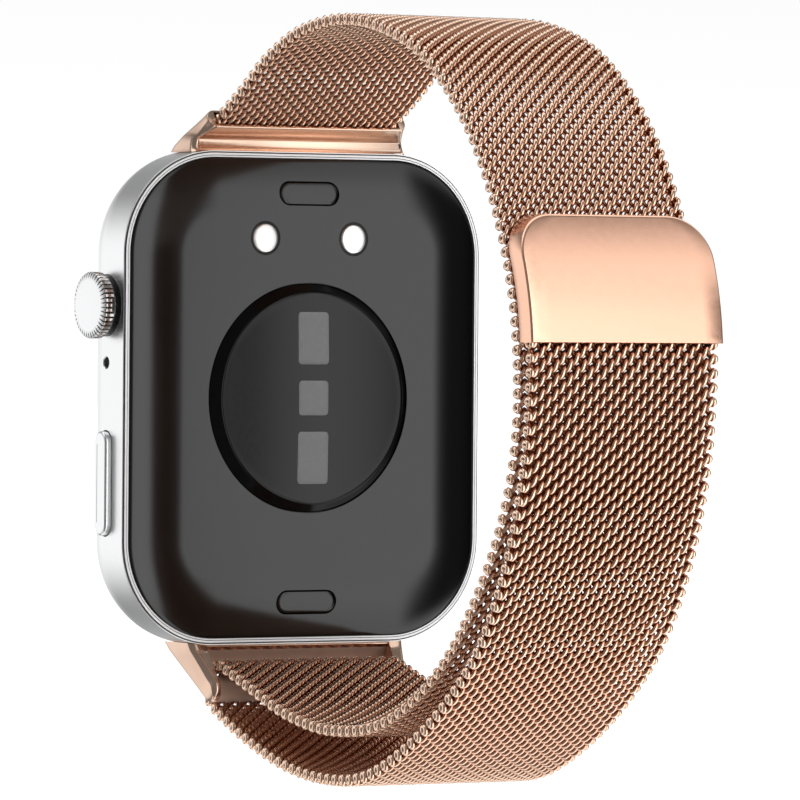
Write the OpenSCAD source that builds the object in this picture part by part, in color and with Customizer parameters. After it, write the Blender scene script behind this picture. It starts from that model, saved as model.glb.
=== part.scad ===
// Smartwatch with a woven steel band, seen as worn: +Z is 12 o'clock, the display faces -Y and the
// back faces +Y, towards the wrist. The origin is the middle of the sensor lens, on the back.
//
// Case parts are drawn in a plate frame: x is +X, y is +Z, and z is the depth below the back's rim,
// growing towards the display. Band parts are drawn as side outlines in (Y, Z), measured from the
// middle of the back's rim, and extruded across the band.

/* [Case] */
// Width of the case, crown not counted
case_w = 36.4; // [35:0.1:40]
// Height of the case
case_h = 43.2; // [42:0.1:47]
// Corner radius of the case, seen from the front
corner_r = 9.1; // [8:0.1:11]
// Depth of the aluminium frame, from its rear rim to the display glass
frame_depth = 6.2; // [6:0.1:7]
// Thickness of the frame's walls
wall = 1.9; // [1.8:0.05:2.2]
// Width of the frame's rear rim round the back cover
rim_w = 0.6; // [0.4:0.05:0.8]
// Radius of the rounding that runs from the frame's side onto the glass
front_r = 4; // [3.5:0.1:4.5]

/* [Back] */
// Height of the crowned back above its own rim
back_rise = 0.8; // [0.5:0.05:1.2]
// Width of the curved margin of the back
back_margin = 5; // [3:0.5:6]
// Diameter of the sensor lens at its foot
lens_d = 20.2; // [18:0.1:22]
// Diameter of the sensor lens at the top of its sloped ring
lens_top_d = 18.4; // [16:0.1:19]
// Height of the middle of the lens above the back's rim
lens_rise = 1.9; // [1.6:0.05:2.2]
// Distance of the windows above and below the middle one
window_pitch = 5.25; // [5:0.05:5.4]
// Diameter of a charging contact
contact_d = 2.6; // [2:0.1:3]
// Height of the contacts above the middle of the back
contact_z = 14; // [13.8:0.1:14.5]
// Distance of each contact from the centre line
contact_x = 4.5; // [4:0.1:6]
// Length of a band release button
release_l = 6.1; // [5:0.1:7]
// Height of the release buttons above and below the middle of the back
release_z = 17.95; // [17.9:0.05:18]

/* [Crown and side button] */
// Diameter of the crown over its knurling
crown_d = 5.8; // [5:0.1:5.8]
// Length of the crown's cap
crown_l = 1.45; // [1.2:0.05:1.6]
// Height of the crown's axis above the middle
crown_z = 8; // [7.5:0.1:9]
// Number of teeth in the knurling
crown_teeth = 44; // [30:1:60]
// Depth of the crown's and the side button's middle below the back's rim
side_mid = 3.1; // [3:0.05:3.2]
// Height of the side button's middle
button_z = -7.5; // [-8:0.1:-7]
// Length of the side button
button_l = 9.1; // [8:0.1:10]
// How far the crown moves in when pressed
crown_travel = 0.4; // [0.2:0.05:0.45]
// How far the side button moves in when pressed
button_travel = 0.3; // [0.2:0.05:0.3]
// How far a release button moves in when pressed
release_travel = 0.75; // [0.72:0.01:0.8]

/* [Band] */
// Width of the woven band
band_w = 18.4; // [16:0.1:18.5]
// Thickness of the woven band
band_t = 1.15; // [0.9:0.05:1.2]
// Width of the connectors across the band
connector_w = 20.2; // [20:0.1:21]
// Radius of the lower connector's outer bar, which the band folds round
bar_r = 1.15; // [1:0.05:1.2]
// Width of the clasp
clasp_w = 18.8; // [18.6:0.1:20]
// Thickness of the clasp
clasp_t = 2; // [1.9:0.05:2.1]

/* [Hidden] */
$fn = 48;

silver = [0.86, 0.86, 0.87];
rose = [0.85, 0.62, 0.50];
dark = [0.16, 0.16, 0.17];

gap = 0.05;                               // assembly gap between neighbouring pieces
cover_w = case_w - 2 * rim_w;
cover_h = case_h - 2 * rim_w;
cover_r = corner_r - rim_w;
cover_t = 1;                              // thickness of the back cover at its rim
seal_t = 0.12;                            // thickness of the seal under the back cover
cavity_w = case_w - 2 * wall;
cavity_h = case_h - 2 * wall;
cavity_r = corner_r - wall;
side_x = case_w / 2;
end_z = case_h / 2;
// Depth at which the front rounding starts, so that the glass ends level at glass_front
glass_front = frame_depth + 1.37;
round_start = glass_front - front_r;
edge_angle = asin((frame_depth - round_start) / front_r);
glass_back = frame_depth + 0.15;

// Lug channels in the case's ends
channel_w = connector_w + 0.2;
channel_front = 5.6;                      // depth of the channel's front wall
channel_back = 1.6;                       // depth of the channel's rear wall
channel_floor = end_z - 1.65;
lug_gap = 0.1;                            // between the connectors and the case

// Upper connector: mouth of its band slot and the slope of its slab
mouth = [0.1, end_z + 2.73];
lug_slope = 30;
slab_t = band_t + 0.56;

// Both connectors are wider where they meet the case, in (Y, Z) as the band's lines are
flare_w = connector_w + 1.8;
foot_front = -0.67;                       // edge of a connector's root nearest the wrist
foot_rear = -6.1;
root_front_r = 0.6;                       // corners of the root in plan
root_rear_r = 2;

// Lower connector's outer bar, and the looser fold of the band round it
bar = [0.75, -end_z - 3.8];
fold_slack = 0.15;
fold_c = bar + [0, fold_slack];
fold_r = bar_r + gap + fold_slack + band_t / 2;
fold_in = 75;                             // place on the bar where the main layer meets it
fold_out = 238;                           // place on the bar where the tail leaves it
fold_main_end = 184;                      // where the main layer's solid ends on the bar
fold_tail_start = 233;                    // where the tail's solid starts on the bar

// Clasp: an arc plate about this centre
clasp_c = [26.9, 3.6];
clasp_r = 25.05;
clasp_low = 3.7;                          // angles of its lower and upper edges
clasp_high = 29;
clasp_corner = 3.6;
skin = 0.42;

// Centre lines of the two layers, in (Y, Z) from the middle of the back's rim
main_line = [
    [4, 26.6], [8.4, 29.4], [14, 31.6], [20.8, 32.4], [27.5, 31.5], [34, 29], [40.2, 24],
    [44.85, 17.5], [48.15, 9.2], [49.1, 0.5], [47.6, -7.6], [43.4, -15.4], [37, -22.4], [28.6, -26.9],
    [20, -28], [12.5, -27], [6.5, -25.1]
];
tail_line = [
    [5, -29.2], [11.9, -31.3], [18.6, -32.15], [25.2, -31.7], [31.5, -29.2], [37.9, -25.2],
    [43.5, -20], [47.6, -13], [50.1, -5], [50.9, 2]
];

// Side button: depth of its plate's underside and height of its face, from the case's side
button_base = 0.75;
button_face = side_x + 0.6;

// ---- Functions ----

function arc(c, r, a0, a1, n) = [for (i = [0:n]) let (a = a0 + (a1 - a0) * i / n)
    c + r * [cos(a), sin(a)]];

// Points along a smooth curve through p, with n steps between neighbours
function spline(p, n) = [
    for (i = [1:len(p) - 3], k = [0:n - 1]) spline_point(p, i, k / n),
    p[len(p) - 2]
];
function spline_point(p, i, t) = 0.5 * (
    2 * p[i] + (p[i + 1] - p[i - 1]) * t
    + (2 * p[i - 1] - 5 * p[i] + 4 * p[i + 1] - p[i + 2]) * t * t
    + (3 * p[i] - p[i - 1] - 3 * p[i + 1] + p[i + 2]) * t * t * t);

// Outline of a strip of thickness t along the centre line p
function strip(p, t) = concat(
    [for (i = [0:len(p) - 1]) p[i] + side(p, i) * t / 2],
    [for (i = [len(p) - 1:-1:0]) p[i] - side(p, i) * t / 2]);
function side(p, i) = let (
    a = p[max(i - 1, 0)],
    b = p[min(i + 1, len(p) - 1)],
    d = (b - a) / norm(b - a)) [-d[1], d[0]];

lug_dir = [cos(lug_slope), sin(lug_slope)];
lug_up = [-sin(lug_slope), cos(lug_slope)];
function on_bar(a) = fold_c + fold_r * [cos(a), sin(a)];
function clasp_point(r, a) = clasp_c + r * [cos(a), sin(a)];
clasp_mid_r = clasp_r - clasp_t / 2 - 0.05;

main_path = concat(
    [mouth - 1.3 * lug_dir],
    spline(concat([mouth - 3 * lug_dir, mouth], main_line, [on_bar(fold_in), on_bar(110)]), 5),
    [for (a = [85:11:fold_main_end]) on_bar(a)]);
tail_path = concat(
    [for (a = [fold_tail_start:2.5:fold_out - 1]) on_bar(a)],
    spline(concat([on_bar(fold_out - 40), on_bar(fold_out)], tail_line,
        [clasp_point(clasp_mid_r, clasp_low + 1), clasp_point(clasp_mid_r, clasp_low + 4.5)]), 5));

// ---- Shared shapes ----

// From the plate frame of the case to the watch's own frame
module in_case() {
    translate([0, -lens_rise, 0]) rotate([90, 0, 0]) children();
}

// From a side outline in (Y, Z) to a solid of width w across the band
module across(w) {
    translate([0, -lens_rise, 0]) rotate([90, 0, 90]) linear_extrude(w, center = true) children();
}

// Along +X from the case's side: children are drawn about the z axis, with z = x in the watch
module from_side(y, z) {
    translate([0, -lens_rise - z, y]) rotate([90, 0, 90]) children();
}

module round_rect(w, h, r) {
    square([w - 2 * r, h], center = true);
    square([w, h - 2 * r], center = true);
    for (x = [-1, 1], y = [-1, 1]) translate([x * (w / 2 - r), y * (h / 2 - r)]) circle(r);
}

module slab(w, h, r, z0, z1) {
    translate([0, 0, z0]) linear_extrude(z1 - z0) round_rect(w, h, r);
}

module pill(l, w, z0, z1) {
    translate([0, 0, z0]) linear_extrude(z1 - z0) {
        square([l - w, w], center = true);
        for (x = [-1, 1]) translate([x * (l - w) / 2, 0]) circle(w / 2);
    }
}

module block(x, y, z) {
    translate([x[0], y[0], z[0]]) cube([x[1] - x[0], y[1] - y[0], z[1] - z[0]]);
}

module tube(r1, r0, z0, z1) {
    translate([0, 0, z0]) difference() {
        cylinder(r = r1, h = z1 - z0);
        translate([0, 0, -1]) cylinder(r = r0, h = z1 - z0 + 2);
    }
}

// Sweeps an outline of (outward, depth) points round the edge of a w by h plate of corner radius r
module swept_edge(w, h, r, outline) {
    for (q = [0:3]) {
        side_l = q % 2 == 0 ? h - 2 * r : w - 2 * r;
        reach = q % 2 == 0 ? w / 2 : h / 2;
        rotate([0, 0, 90 * q]) translate([reach, 0, 0]) rotate([90, 0, 0])
            linear_extrude(side_l, center = true) polygon(outline);
    }
    for (q = [0:3]) {
        sx = q == 0 || q == 3 ? 1 : -1;
        sy = q < 2 ? 1 : -1;
        translate([sx * (w / 2 - r), sy * (h / 2 - r), 0]) rotate([0, 0, 90 * q])
            rotate_extrude(angle = 90) translate([r, 0]) polygon(outline);
    }
}

// ---- Case ----

frame_outline = concat(
    [[-wall, cover_t + seal_t], [-rim_w + 0.02, cover_t + seal_t], [-rim_w + 0.02, 0]],
    arc([-0.15, 0.15], 0.15, -90, 0, 3),
    arc([-front_r, round_start], front_r, 0, edge_angle, 6),
    [[-wall, frame_depth]]);

module lug_channel() {
    block([-channel_w / 2, channel_w / 2], [channel_floor, end_z + 1],
        [channel_back, channel_front]);
}

// Solid end of the case that carries the lug channel and the release button's pocket
module end_boss() {
    difference() {
        block([-12, 12], [16.4, end_z - wall + 0.1], [cover_t + seal_t, frame_depth - 1.3]);
        block([-release_l / 2 - 0.1, release_l / 2 + 0.1], [release_z - 1.15, release_z + 1.15],
            [0, 4.4]);
    }
}

module case_frame() {
    color(silver) difference() {
        union() {
            in_case() swept_edge(case_w, case_h, corner_r, frame_outline);
            in_case() end_boss();
            in_case() mirror([0, 1, 0]) end_boss();
        }
        in_case() {
            lug_channel();
            mirror([0, 1, 0]) lug_channel();
            // windows for the latch fingers of the release buttons
            for (s = [0, 1]) mirror([0, s, 0]) block([-1.2, 1.2], [release_z, end_z], [2.2, 4.4]);
        }
        from_side(crown_z, side_mid) translate([0, 0, side_x - 3]) cylinder(r = 1.5, h = 4);
        from_side(3, side_mid) translate([0, 0, side_x - 3]) cylinder(r = 0.5, h = 4);
        from_side(button_z, side_mid) {
            translate([0, 0, side_x - button_base - button_travel - gap]) rotate([0, 0, 90])
                pill(button_l + 0.2, 2.3, 0, 2);
            for (k = [-1:1]) {
                translate([0, 2.6 * k, side_x - 3]) cylinder(r = 0.45, h = 4);
                translate([0, 2.6 * k, side_x - 1.5]) cylinder(r = 0.75, h = 1);
            }
        }
        for (z = [6, 10.5]) from_side(z, side_mid) translate([0, 0, -side_x - 1])
            rotate([0, 0, 90]) pill(3.4, 0.9, 0, 4);
    }
}

glass_outline = concat(
    arc([-front_r, round_start], front_r, edge_angle + 2, 90, 8),
    [[-front_r, glass_back], [-front_r + front_r * cos(edge_angle + 2), glass_back]]);

module display_glass() {
    color("black") in_case() {
        swept_edge(case_w, case_h, corner_r, glass_outline);
        slab(case_w - 2 * front_r, case_h - 2 * front_r, corner_r - front_r, glass_back,
            glass_front);
    }
}

module display_gasket() {
    color("dimgray") in_case() difference() {
        slab(case_w - 2.6, case_h - 2.6, corner_r - 1.3, frame_depth, glass_back);
        slab(cavity_w - 0.2, cavity_h - 0.2, cavity_r - 0.1, frame_depth - 1, glass_back + 1);
    }
}

module display_panel() {
    color([0.05, 0.05, 0.08]) in_case()
        slab(cavity_w - 0.8, cavity_h - 0.8, cavity_r - 0.4, glass_back - 0.8, glass_back);
}

screw_places = [[-14, 11.5], [14, 11.5], [-14, -11.5], [14, -11.5]];

module inner_chassis() {
    color("gray") in_case() difference() {
        slab(cavity_w - 0.1, 32.6, 4, glass_back - 1.3, glass_back - 0.85);
        for (p = screw_places) translate([p[0], p[1], 0]) cylinder(r = 0.55, h = 9);
    }
}

module chassis_screws() {
    color("silver") in_case() for (p = screw_places) translate([p[0], p[1], 0]) {
        translate([0, 0, 3.8]) cylinder(r = 0.5, h = 1.65);
        translate([0, 0, 3.3]) difference() {
            cylinder(r = 0.95, h = 0.5);
            translate([0, 0, -0.1]) cylinder(r = 0.4, h = 0.35, $fn = 6);
        }
    }
}

// ---- Electronics ----

module main_board() {
    color("darkgreen") in_case() difference() {
        block([-15.4, 10.2], [2.6, 15.4], [3.9, 4.6]);
        for (p = screw_places) translate([p[0], p[1], 0]) cylinder(r = 0.6, h = 9);
    }
}

module shield_can() {
    color("lightgray") in_case() difference() {
        block([-10.5, 1.5], [4, 14.6], [2.7, 3.9]);
        block([-10.3, 1.3], [4.2, 14.4], [2.9, 4]);
    }
}

module battery() {
    color("slategray") in_case() slab_at([-3, -6.6], 20, 16.6, 1.2, 1.25, 4.7);
}

module slab_at(c, w, h, r, z0, z1) {
    translate([c[0], c[1], 0]) slab(w, h, r, z0, z1);
}

module vibration_motor() {
    color("lightgray") in_case() slab_at([9.8, -13], 4.6, 5.6, 0.6, 1.5, 4.5);
}

module speaker() {
    color("dimgray") in_case() slab_at([-13.4, 8.3], 4, 9, 0.8, 1.3, 2.6);
}

module speaker_mesh() {
    color("gray") from_side(8.25, side_mid) translate([0, 0, -cavity_w / 2])
        rotate([0, 0, 90]) pill(9, 1.4, 0, 0.15);
}

module microphone() {
    color("silver") in_case() block([14.6, 15.9], [1.8, 4.2], [2.3, 3.9]);
}

module microphone_mesh() {
    color("gray") from_side(3, side_mid) translate([0, 0, cavity_w / 2 - 0.15])
        cylinder(r = 0.9, h = 0.15);
}

// ---- Back ----

// Depth of the back's curved margin, as an arc that meets the flat middle smoothly
margin_r = (back_margin * back_margin + back_rise * back_rise) / (2 * back_rise);
margin_angle = asin(back_margin / margin_r);
cover_outline = concat(
    [[0, cover_t], [0, 0]],
    arc([-back_margin, margin_r - back_rise], margin_r, -90 + margin_angle, -90, 8),
    [[-back_margin, cover_t]]);

module cover_solid() {
    swept_edge(cover_w, cover_h, cover_r, cover_outline);
    slab(cover_w - 2 * back_margin, cover_h - 2 * back_margin, cover_r - back_margin, -back_rise,
        cover_t);
}

module back_cover() {
    color(dark) in_case() difference() {
        cover_solid();
        // hollow for the battery and boards
        slab(cavity_w - 2.4, cavity_h - 8.4, 5, 0.1, cover_t + 1);
        translate([0, 0, -2]) cylinder(r = lens_d / 2, h = 1.75);
        translate([0, 0, -2]) cylinder(r = 7.6, h = 5);
        for (x = [-1, 1]) translate([x * contact_x, contact_z, -2])
            cylinder(r = contact_d / 2 + 0.18, h = 4);
        for (s = [-1, 1]) translate([0, s * release_z, 0]) pill(release_l, 2.1, -2, 2);
    }
}

module back_seal() {
    color("black") in_case() difference() {
        slab(cover_w - 0.9, cover_h - 0.9, cover_r - 0.45, cover_t, cover_t + seal_t);
        slab(cavity_w + 0.1, cavity_h + 0.1, cavity_r, cover_t - 1, cover_t + 1);
    }
}

lens_seat = -0.25;                        // depth of the lens's seat in the cover
lens_edge = -1.5;                         // depth of the top of the lens's sloped ring
lens_foot = -0.78;                        // depth where the slope meets the back
dome_sag = lens_rise + lens_edge;
dome_r = (lens_top_d * lens_top_d / 4 + dome_sag * dome_sag) / (2 * dome_sag);
dome_angle = asin(lens_top_d / 2 / dome_r);

module lens_solid(r) {
    rotate_extrude($fn = 96) intersection() {
        polygon(concat(
            [[0, lens_seat], [lens_d / 2 - gap, lens_seat], [lens_d / 2 - gap, lens_foot]],
            [[lens_d / 2 - 0.3, lens_foot - 0.35]],
            arc([0, dome_r - lens_rise], dome_r, -90 + dome_angle, -90, 6)));
        translate([0, -3]) square([r, 6]);
    }
}

window_sizes = [[3.1, 4.6], [3, 3.05], [3.1, 4.6]];   // upper, middle, lower

module window_prism(k, grow) {
    translate([0, window_pitch * (1 - k), -3]) linear_extrude(2)
        round_rect(window_sizes[k][0] + grow, window_sizes[k][1] + grow, 0.35 + grow / 2);
}

module sensor_lens() {
    color("black") in_case() difference() {
        lens_solid(20);
        for (k = [0:2]) window_prism(k, 0.04);
    }
}

module window(k) {
    color([0.55, 0.55, 0.56]) in_case() intersection() {
        lens_solid(9);
        window_prism(k, 0);
    }
}

module window_upper() { window(0); }
module window_middle() { window(1); }
module window_lower() { window(2); }

module sensor_board() {
    color("darkgreen") in_case() translate([0, 0, 0.35]) cylinder(r = 7.4, h = 0.6);
}

module sensor_emitters() {
    color("gainsboro") in_case() for (k = [-1:1], x = [-0.75, 0.75])
        block([x - 0.5, x + 0.5], [window_pitch * k - 0.9, window_pitch * k + 0.9], [-0.2, 0.35]);
}

module contact(x) {
    color("silver") in_case() translate([x, contact_z, 0]) {
        translate([0, 0, -back_rise - 0.06]) cylinder(r = contact_d / 2, h = 1.4);
        translate([0, 0, 0.5]) cylinder(r = 0.7, h = 2);
    }
}

module contact_left() { contact(contact_x); }
module contact_right() { contact(-contact_x); }

module contact_rings() {
    color("black") in_case() for (x = [-1, 1]) translate([x * contact_x, contact_z, 0])
        tube(contact_d / 2 + 0.18, contact_d / 2, -back_rise + 0.03, 0.3);
}

// ---- Crown ----

function knurl(r, depth, n) = [for (i = [0:n - 1], k = [0:3])
    let (a = 360 / n * (i + [0, 0.3, 0.5, 0.8][k])) (k < 2 ? r : r - depth) * [cos(a), sin(a)]];

crown_base = side_x + crown_travel + 0.1;

module crown_cap() {
    color(silver) from_side(crown_z, side_mid) {
        translate([0, 0, crown_base + 0.2]) linear_extrude(crown_l - 0.45)
            polygon(knurl(crown_d / 2, 0.14, crown_teeth));
        translate([0, 0, crown_base]) cylinder(r = crown_d / 2 - 0.35, h = 0.2);
        translate([0, 0, crown_base + crown_l - 0.25])
            cylinder(r1 = crown_d / 2 - 0.14, r2 = crown_d / 2 - 0.3, h = 0.25);
    }
}

module crown_stem() {
    color("silver") from_side(crown_z, side_mid) {
        translate([0, 0, 12.5]) cylinder(r = 0.75, h = crown_base - 12.5);
        translate([0, 0, 13.9]) linear_extrude(0.6) polygon(knurl(1.8, 0.3, 20));
    }
}

module crown_cup() {
    color("dimgray") from_side(crown_z, side_mid) difference() {
        translate([0, 0, 12.05]) cylinder(r = 1.15, h = 1.4);
        translate([0, 0, 12.45]) cylinder(r = 0.8, h = 2);
    }
}

module crown_bush() {
    color("gray") from_side(crown_z, side_mid) difference() {
        tube(1.5, 0.8, side_x - 2.6, side_x + 0.05);
        translate([0, 0, side_x - 1.4]) cylinder(r = 1.15, h = 0.5);
    }
}

module crown_seal() {
    color("black") from_side(crown_z, side_mid) translate([0, 0, side_x - 1.15])
        rotate_extrude() translate([0.98, 0]) circle(0.16, $fn = 24);
}

module crown_switch() {
    color("silver") from_side(crown_z, side_mid) {
        block([-1.4, 1.4], [-1.4, 1.4], [10.5, 11.3]);
        translate([0, 0, 11.3]) cylinder(r = 0.7, h = 0.25);
    }
}

module encoder_sensor() {
    color("black") in_case() block([13.4, 15], [7.3, 8.7], [0.35, 1.1]);
}

// ---- Side button ----

module side_button() {
    color(silver) from_side(button_z, side_mid) difference() {
        union() {
            rotate([0, 0, 90]) pill(button_l, 2.1, side_x - button_base, button_face - 0.2);
            rotate([0, 0, 90]) pill(button_l - 0.2, 1.9, button_face - 0.2, button_face - 0.08);
            rotate([0, 0, 90]) pill(button_l - 0.42, 1.68, button_face - 0.08, button_face);
            for (k = [-1:1]) translate([0, 2.6 * k, side_x - 2.7]) cylinder(r = 0.4, h = 2);
        }
        block([-0.5, -0.42], [-3.4, 3.4], [button_face - 0.06, button_face + 1]);
    }
}

module button_clips() {
    color("gray") from_side(button_z, side_mid) for (k = [-1, 1]) translate([0, 2.6 * k, 0])
        tube(0.8, 0.4, side_x - 2.4, side_x - 2.2);
}

module button_seals() {
    color("black") from_side(button_z, side_mid) for (k = [-1:1])
        translate([0, 2.6 * k, side_x - 1.3]) rotate_extrude() translate([0.59, 0])
            circle(0.13, $fn = 24);
}

module button_switch() {
    color("silver") from_side(button_z, side_mid) {
        block([-1.2, 1.2], [-1.6, 1.6], [side_x - 4.3, side_x - 3.5]);
        translate([0, 0, side_x - 3.5]) cylinder(r = 0.6, h = 0.4);
    }
}

// ---- Band release ----

// The latch finger on the button's stem reaches into a notch in the connector's foot. Pressing the
// button takes it down to a keyway along the foot, and the foot can then slide out sideways.
finger_top = 2.5;
finger_t = 0.7;

module release_button() {
    translate([0, release_z, 0]) {
        pill(release_l - 0.12, 1.98, -back_rise + 0.02, 1.3);
        pill(release_l - 0.5, 1.6, 1.3, finger_top);
        block([-0.9, 0.9], [-0.8, channel_floor - release_z + 0.6],
            [finger_top, finger_top + finger_t]);
    }
}

module release_upper() { color(dark) in_case() release_button(); }
module release_lower() { color(dark) in_case() mirror([0, 1, 0]) release_button(); }

// A return spring, drawn as its stack of closed turns
module release_spring() {
    for (x = [-1, 1], k = [0:3]) translate([2 * x, release_z, 2.65 + 0.45 * k])
        rotate_extrude() translate([0.5, 0]) circle(0.1, $fn = 16);
    for (x = [-1, 1]) translate([2 * x, release_z, finger_top]) tube(0.55, 0.42, 0, 1.85);
}

module spring_upper() { color("silver") in_case() release_spring(); }
module spring_lower() { color("silver") in_case() mirror([0, 1, 0]) release_spring(); }

// ---- Band connectors ----

// Foot that slides into a lug channel, with a notch for the release button's finger
module lug_foot() {
    difference() {
        block([-connector_w / 2 + 0.2, connector_w / 2 - 0.2],
            [channel_floor + 0.1, end_z + lug_gap + 0.1], [channel_back + 0.1, channel_front - 0.1]);
        block([-1.1, 1.1], [channel_floor, channel_floor + 0.9], [finger_top - 0.1, 4.4]);
        block([-channel_w, channel_w], [channel_floor, channel_floor + 0.9],
            [finger_top + release_travel - 0.05, 4.4]);
    }
}

connector_low = end_z + lug_gap;
tip_out = mouth + slab_t / 2 * lug_up;
crease = [-1.07, connector_low + 0.9];

// Thin plate across a connector at height z, from y0 to y1, rounder at the rear
module root_plate(w, y0, y1, rear_r, z) {
    points = concat(
        arc([w / 2 - root_front_r, y1 - root_front_r], root_front_r, 0, 90, 6),
        arc([-w / 2 + root_front_r, y1 - root_front_r], root_front_r, 90, 180, 6),
        arc([-w / 2 + rear_r, y0 + rear_r], rear_r, 180, 270, 8),
        arc([w / 2 - rear_r, y0 + rear_r], rear_r, 270, 360, 8));
    translate([0, -lens_rise, z]) linear_extrude(0.04) polygon(points);
}

module upper_connector() {
    crease_w = (connector_w + flare_w) / 2;
    crease_rear = tip_out[0] - (tip_out[1] - crease[1]) / tan(lug_slope);
    color(rose) {
        hull() {
            root_plate(flare_w, foot_rear, foot_front, root_rear_r, connector_low);
            root_plate(crease_w, crease_rear, crease[0], root_rear_r / 2, crease[1]);
        }
        difference() {
            hull() {
                root_plate(crease_w, crease_rear, crease[0], root_rear_r / 2, crease[1]);
                translate([0, mouth[0] - lens_rise, mouth[1]]) rotate([lug_slope - 90, 0, 0])
                    translate([0, 0, -0.04]) linear_extrude(0.04)
                    round_rect(connector_w, slab_t, slab_t / 2 - 0.01, $fn = 32);
            }
            across(band_w + 0.3) polygon(strip([mouth - 1.5 * lug_dir, mouth + lug_dir],
                band_t + 0.1));
        }
        in_case() lug_foot();
    }
}

ring_root = [[foot_rear, -connector_low], [foot_front, -connector_low]];
ring_wall = [
    [foot_front - 0.33, -connector_low - 0.4], [-2.35, -connector_low - 2.3],
    [-2.8, -connector_low - 2.4]
];
arm_t = (connector_w - band_w) / 2 - 0.1;
arm_tip_r = bar_r + 0.05;

// Side arm of the lower ring: its root is flared and its tip holds the bar
module ring_arm() {
    root_t = flare_w / 2 - connector_w / 2 + arm_t;
    hull() {
        for (y = [foot_rear + root_t / 2 + 0.8, foot_front - root_t / 2])
            translate([flare_w / 2 - root_t / 2, y - lens_rise, -connector_low - 0.04])
                cylinder(r = root_t / 2, h = 0.04, $fn = 32);
        translate([connector_w / 2 - arm_t / 2, 0, 0]) across(arm_t)
            translate(bar) circle(arm_tip_r, $fn = 32);
    }
}

module lower_connector() {
    color(rose) {
        across(connector_w) polygon(concat(ring_root, ring_wall));
        ring_arm();
        mirror([1, 0, 0]) ring_arm();
        across(connector_w - arm_t) translate(bar) circle(bar_r);
        in_case() mirror([0, 1, 0]) lug_foot();
    }
}

// ---- Band ----

module band_main() {
    color(rose) across(band_w) polygon(strip(main_path, band_t));
}

module band_tail() {
    color(rose) across(band_w) polygon(strip(tail_path, band_t));
}

// ---- Clasp ----

// Arc plate between two radii and two angles, in (Y, Z)
module arc_plate(r0, r1, a0, a1) {
    polygon(concat(
        [for (i = [0:12]) clasp_point(r1, a0 + (a1 - a0) * i / 12)],
        [for (i = [12:-1:0]) clasp_point(r0, a0 + (a1 - a0) * i / 12)]));
}

clasp_bottom = clasp_point(clasp_r, clasp_low)[1];
clasp_top = clasp_point(clasp_r, clasp_high)[1];

// Outline of the clasp seen from outside, as (X, Z), inset by the given distance
module clasp_front(inset) {
    h = clasp_top - clasp_bottom - inset;
    w = clasp_w - 2 * inset;
    r = clasp_corner - inset;
    translate([-w / 2, clasp_bottom - 1]) square([w, h - r + 1]);
    translate([-w / 2 + r, clasp_bottom - 1]) square([w - 2 * r, h + 1]);
    for (s = [-1, 1]) translate([s * (w / 2 - r), clasp_bottom + h - r]) circle(r);
}

module clasp_layer(r0, r1, a0, a1, inset) {
    intersection() {
        across(clasp_w + 2) arc_plate(r0, r1, a0, a1);
        translate([0, 60, 0]) rotate([90, 0, 0]) linear_extrude(40) clasp_front(inset);
    }
}

module clasp_cover() {
    color(rose) difference() {
        clasp_layer(clasp_r - clasp_t, clasp_r, clasp_low, clasp_high + 3, 0);
        clasp_layer(clasp_r - clasp_t - 1, clasp_r - skin, clasp_low - 2, clasp_high + 3, skin);
        // mouth for the band's end
        across(band_w + 0.1) arc_plate(clasp_r - clasp_t - 1, clasp_r - skin, clasp_low - 2,
            clasp_low + 1.4);
    }
}

module clasp_plate() {
    color(rose) clasp_layer(clasp_r - clasp_t, clasp_r - clasp_t + 0.3, clasp_low, clasp_high + 3,
        skin + gap);
}

module clasp_magnet() {
    color("dimgray") across(15) arc_plate(clasp_r - clasp_t + 0.35, clasp_r - skin - gap,
        clasp_low + 5.2, clasp_high - 4);
}

// ---- Output ----

case_frame();
display_glass();
display_gasket();
display_panel();
inner_chassis();
chassis_screws();
main_board();
shield_can();
battery();
vibration_motor();
speaker();
speaker_mesh();
microphone();
microphone_mesh();
back_cover();
back_seal();
sensor_lens();
window_upper();
window_middle();
window_lower();
sensor_board();
sensor_emitters();
contact_left();
contact_right();
contact_rings();
crown_cap();
crown_stem();
crown_cup();
crown_bush();
crown_seal();
crown_switch();
encoder_sensor();
side_button();
button_clips();
button_seals();
button_switch();
release_upper();
release_lower();
spring_upper();
spring_lower();
upper_connector();
lower_connector();
band_main();
band_tail();
clasp_cover();
clasp_magnet();
clasp_plate();
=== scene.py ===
import math

import bmesh
import bpy
import numpy as np
from mathutils import Matrix, Vector


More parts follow.
